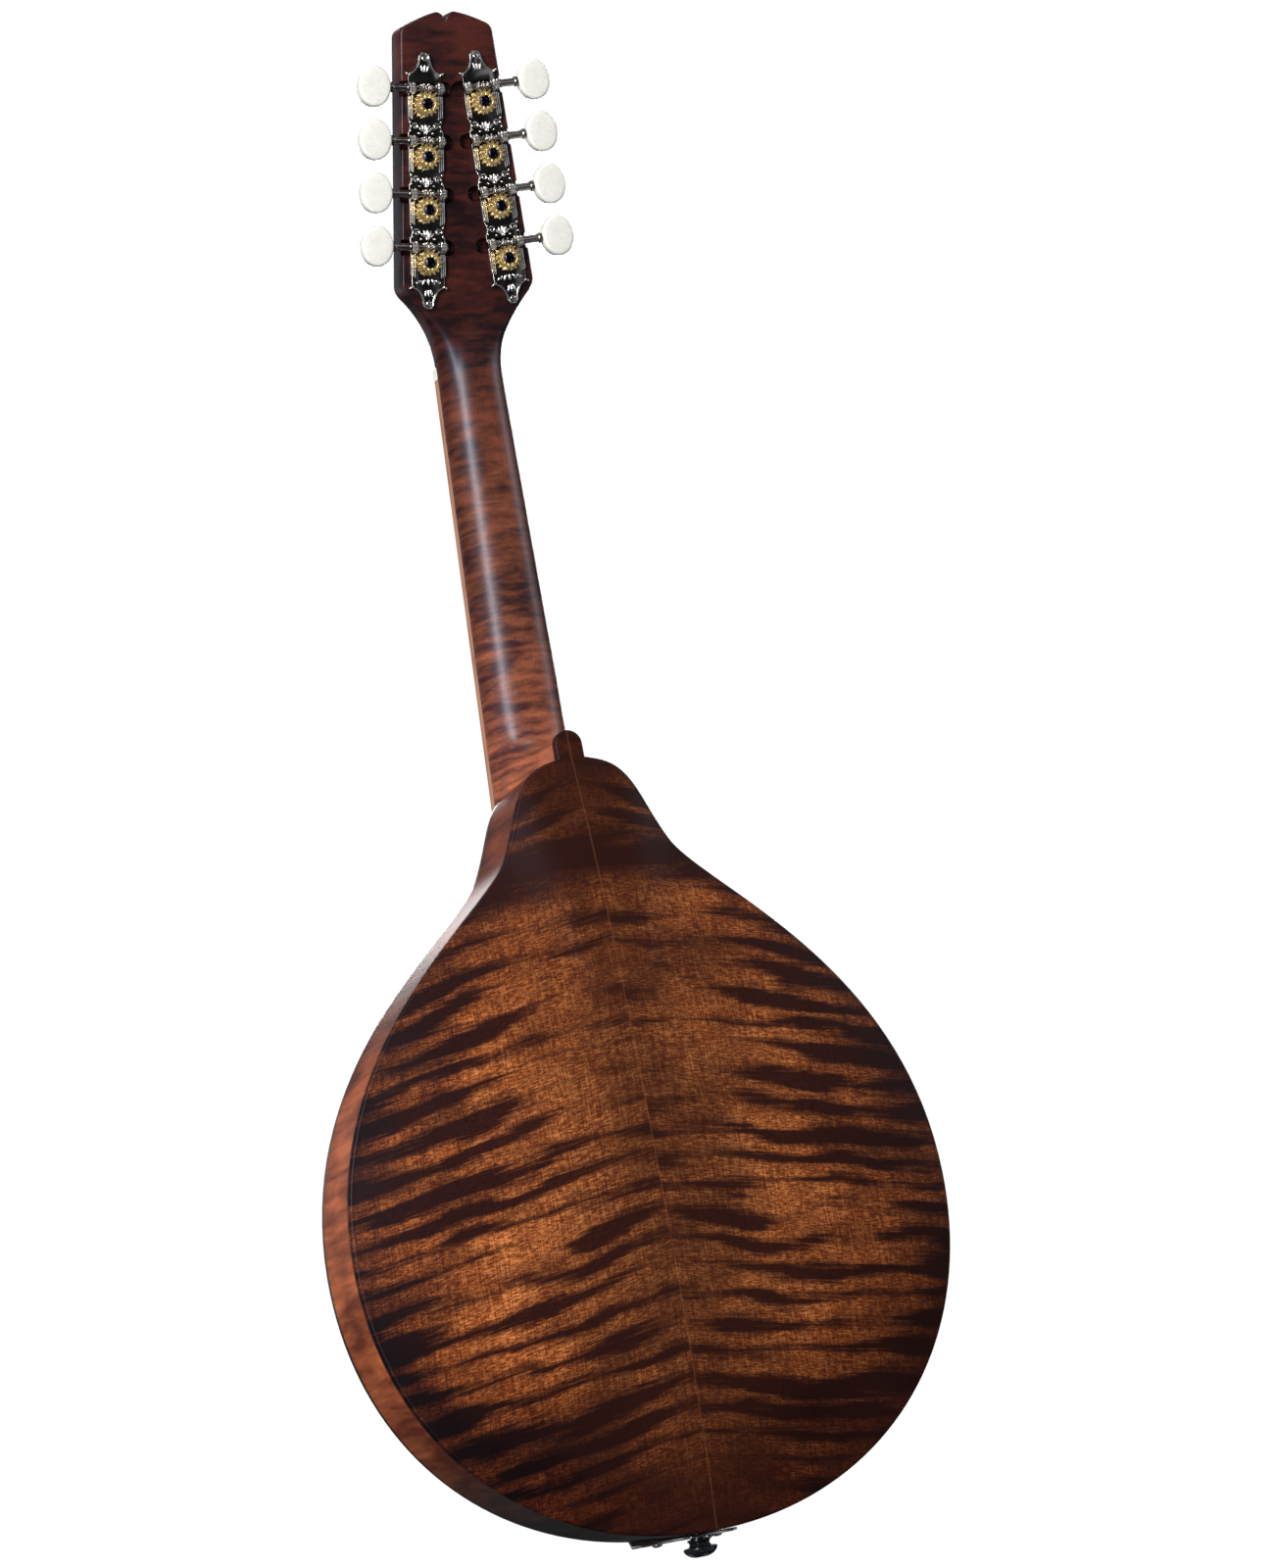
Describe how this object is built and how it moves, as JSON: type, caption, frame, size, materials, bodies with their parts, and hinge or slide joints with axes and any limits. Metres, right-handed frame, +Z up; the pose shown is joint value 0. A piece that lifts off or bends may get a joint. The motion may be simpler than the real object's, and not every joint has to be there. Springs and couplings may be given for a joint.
{
  "type": "mandolin",
  "caption": "A-style mandolin with a carved flamed back, f-holes, a tapered headstock and two rows of open-geared tuners with pearly buttons.",
  "frame": {"origin": "middle of the neck at the nut, where the yoke of a hanger holds the instrument under the headstock's flare", "axes": "+Z up towards the headstock, parallel to the plane of the back's edge; -Y is the soundboard's side; +Y is the back; +X is the treble side"},
  "size_m": [0.2634, 0.0988, 0.6771],
  "materials": {
    "flamed_maple_back": "gloss brown stain over bookmatched flamed maple",
    "stained_maple": "satin dark red-brown stain and lacquer",
    "stained_spruce": "gloss dark brown stain over straight-grained spruce",
    "bare_wood": "raw, unfinished",
    "black_veneer": "gloss black",
    "rosewood": "oiled, open grain",
    "aged_ivory_binding": "satin aged ivory",
    "bone": "polished bone",
    "nickel": "polished nickel plate, stamped and chased",
    "fret_wire": "polished nickel-silver",
    "dark_steel": "darkened steel",
    "gear_brass": "polished brass",
    "pearl_plastic": "pearly white, slightly translucent",
    "bronze_wire": "round-wound phosphor bronze",
    "plain_wire": "bright plain steel",
    "black_plastic": "gloss black"
  },
  "bodies": {
    "root": {"back_plate": "flamed_maple_back", "soundboard": "stained_spruce", "treble_rib": "stained_maple", "bass_rib": "stained_maple", "neck_block": "bare_wood", "tail_block": "bare_wood", "back_lining": "bare_wood", "top_lining": "bare_wood", "treble_tone_bar": "bare_wood", "bass_tone_bar": "bare_wood", "neck": "stained_maple", "headstock_overlay": "black_veneer", "fingerboard": "rosewood", "fingerboard_binding": "aged_ivory_binding", "frets": "fret_wire", "nut": "bone", "truss_rod": "dark_steel", "truss_rod_cover": "black_plastic", "bridge_base": "rosewood", "tailpiece_base": "nickel", "end_pin": "black_plastic", "treble_tuner_plate": "nickel", "bass_tuner_plate": "nickel", "e_string_1": "plain_wire", "e_string_2": "plain_wire", "a_string_1": "plain_wire", "a_string_2": "plain_wire", "d_string_1": "bronze_wire", "d_string_2": "bronze_wire", "g_string_1": "bronze_wire", "g_string_2": "bronze_wire"},
    "treble_worm_1": {"treble_worm_shaft_1": "dark_steel", "treble_button_1": "pearl_plastic"},
    "treble_post_1": {"treble_string_post_1": "gear_brass"},
    "treble_worm_2": {"treble_worm_shaft_2": "dark_steel", "treble_button_2": "pearl_plastic"},
    "treble_post_2": {"treble_string_post_2": "gear_brass"},
    "treble_worm_3": {"treble_worm_shaft_3": "dark_steel", "treble_button_3": "pearl_plastic"},
    "treble_post_3": {"treble_string_post_3": "gear_brass"},
    "treble_worm_4": {"treble_worm_shaft_4": "dark_steel", "treble_button_4": "pearl_plastic"},
    "treble_post_4": {"treble_string_post_4": "gear_brass"},
    "bass_worm_1": {"bass_worm_shaft_1": "dark_steel", "bass_button_1": "pearl_plastic"},
    "bass_post_1": {"bass_string_post_1": "gear_brass"},
    "bass_worm_2": {"bass_worm_shaft_2": "dark_steel", "bass_button_2": "pearl_plastic"},
    "bass_post_2": {"bass_string_post_2": "gear_brass"},
    "bass_worm_3": {"bass_worm_shaft_3": "dark_steel", "bass_button_3": "pearl_plastic"},
    "bass_post_3": {"bass_string_post_3": "gear_brass"},
    "bass_worm_4": {"bass_worm_shaft_4": "dark_steel", "bass_button_4": "pearl_plastic"},
    "bass_post_4": {"bass_string_post_4": "gear_brass"},
    "bridge_top": {"bridge_saddle": "rosewood"},
    "treble_wheel": {"treble_thumbwheel": "gear_brass"},
    "bass_wheel": {"bass_thumbwheel": "gear_brass"},
    "truss_nut": {"truss_rod_nut": "gear_brass"},
    "tail_cover": {"tailpiece_cover": "nickel"}
  },
  "joints": [
    {"name": "treble_worm_1_turn", "type": "hinge", "parent": "root", "child": "treble_worm_1", "pos_m": [0.01785, 0.02358, 0.05035], "axis": [0.9973, 0.0215, 0.07], "continuous": true},
    {"name": "treble_post_1_turn", "type": "hinge", "parent": "root", "child": "treble_post_1", "pos_m": [0.01835, 0.02158, 0.04386], "axis": [0, 0.9558, -0.294], "continuous": true},
    {"name": "treble_worm_2_turn", "type": "hinge", "parent": "root", "child": "treble_worm_2", "pos_m": [0.01617, 0.03032, 0.07227], "axis": [0.9973, 0.0215, 0.07], "continuous": true},
    {"name": "treble_post_2_turn", "type": "hinge", "parent": "root", "child": "treble_post_2", "pos_m": [0.01667, 0.02833, 0.06579], "axis": [0, 0.9558, -0.294], "continuous": true},
    {"name": "treble_worm_3_turn", "type": "hinge", "parent": "root", "child": "treble_worm_3", "pos_m": [0.01448, 0.03707, 0.09419], "axis": [0.9973, 0.0215, 0.07], "continuous": true},
    {"name": "treble_post_3_turn", "type": "hinge", "parent": "root", "child": "treble_post_3", "pos_m": [0.01498, 0.03507, 0.08771], "axis": [0, 0.9558, -0.294], "continuous": true},
    {"name": "treble_worm_4_turn", "type": "hinge", "parent": "root", "child": "treble_worm_4", "pos_m": [0.0128, 0.04381, 0.11612], "axis": [0.9973, 0.0215, 0.07], "continuous": true},
    {"name": "treble_post_4_turn", "type": "hinge", "parent": "root", "child": "treble_post_4", "pos_m": [0.0133, 0.04182, 0.10964], "axis": [0, 0.9558, -0.294], "continuous": true},
    {"name": "bass_worm_1_turn", "type": "hinge", "parent": "root", "child": "bass_worm_1", "pos_m": [-0.01785, 0.02358, 0.05035], "axis": [-0.9973, 0.0215, 0.07], "continuous": true},
    {"name": "bass_post_1_turn", "type": "hinge", "parent": "root", "child": "bass_post_1", "pos_m": [-0.01835, 0.02158, 0.04386], "axis": [0, 0.9558, -0.294], "continuous": true},
    {"name": "bass_worm_2_turn", "type": "hinge", "parent": "root", "child": "bass_worm_2", "pos_m": [-0.01617, 0.03032, 0.07227], "axis": [-0.9973, 0.0215, 0.07], "continuous": true},
    {"name": "bass_post_2_turn", "type": "hinge", "parent": "root", "child": "bass_post_2", "pos_m": [-0.01667, 0.02833, 0.06579], "axis": [0, 0.9558, -0.294], "continuous": true},
    {"name": "bass_worm_3_turn", "type": "hinge", "parent": "root", "child": "bass_worm_3", "pos_m": [-0.01448, 0.03707, 0.09419], "axis": [-0.9973, 0.0215, 0.07], "continuous": true},
    {"name": "bass_post_3_turn", "type": "hinge", "parent": "root", "child": "bass_post_3", "pos_m": [-0.01498, 0.03507, 0.08771], "axis": [0, 0.9558, -0.294], "continuous": true},
    {"name": "bass_worm_4_turn", "type": "hinge", "parent": "root", "child": "bass_worm_4", "pos_m": [-0.0128, 0.04381, 0.11612], "axis": [-0.9973, 0.0215, 0.07], "continuous": true},
    {"name": "bass_post_4_turn", "type": "hinge", "parent": "root", "child": "bass_post_4", "pos_m": [-0.0133, 0.04182, 0.10964], "axis": [0, 0.9558, -0.294], "continuous": true},
    {"name": "bridge_height", "type": "slide", "parent": "root", "child": "bridge_top", "axis": [0, -1, 0], "range_m": [-0.00141, 0.00141], "deforming": ["e_string_1", "e_string_2", "a_string_1", "a_string_2", "d_string_1", "d_string_2", "g_string_1", "g_string_2"]},
    {"name": "treble_wheel_turn", "type": "hinge", "parent": "bridge_top", "child": "treble_wheel", "pos_m": [0.026, -0.0376, -0.3504], "axis": [0, -1, 0], "range_deg": [-720, 720]},
    {"name": "bass_wheel_turn", "type": "hinge", "parent": "bridge_top", "child": "bass_wheel", "pos_m": [-0.026, -0.0376, -0.3504], "axis": [0, -1, 0], "range_deg": [-720.5, 720.5]},
    {"name": "truss_nut_turn", "type": "hinge", "parent": "root", "child": "truss_nut", "pos_m": [0, -0.00047, 0.01102], "axis": [0, 0.0889, 0.996], "range_deg": [-180, 180]},
    {"name": "tail_cover_slide", "type": "slide", "parent": "root", "child": "tail_cover", "axis": [0, 0.1178, -0.993], "range_m": [0, 0.03]}
  ],
  "couplings": [
    {"joint": "treble_post_1_turn", "follows": "treble_worm_1_turn", "ratio": -0.066667},
    {"joint": "treble_post_2_turn", "follows": "treble_worm_2_turn", "ratio": -0.066667},
    {"joint": "treble_post_3_turn", "follows": "treble_worm_3_turn", "ratio": -0.066667},
    {"joint": "treble_post_4_turn", "follows": "treble_worm_4_turn", "ratio": -0.066667},
    {"joint": "bass_post_1_turn", "follows": "bass_worm_1_turn", "ratio": -0.066667},
    {"joint": "bass_post_2_turn", "follows": "bass_worm_2_turn", "ratio": -0.066667},
    {"joint": "bass_post_3_turn", "follows": "bass_worm_3_turn", "ratio": -0.066667},
    {"joint": "bass_post_4_turn", "follows": "bass_worm_4_turn", "ratio": -0.066667},
    {"joint": "bridge_height", "follows": "treble_wheel_turn", "m_per_rad": 0.00011141},
    {"joint": "bass_wheel_turn", "follows": "treble_wheel_turn", "ratio": 1}
  ]
}
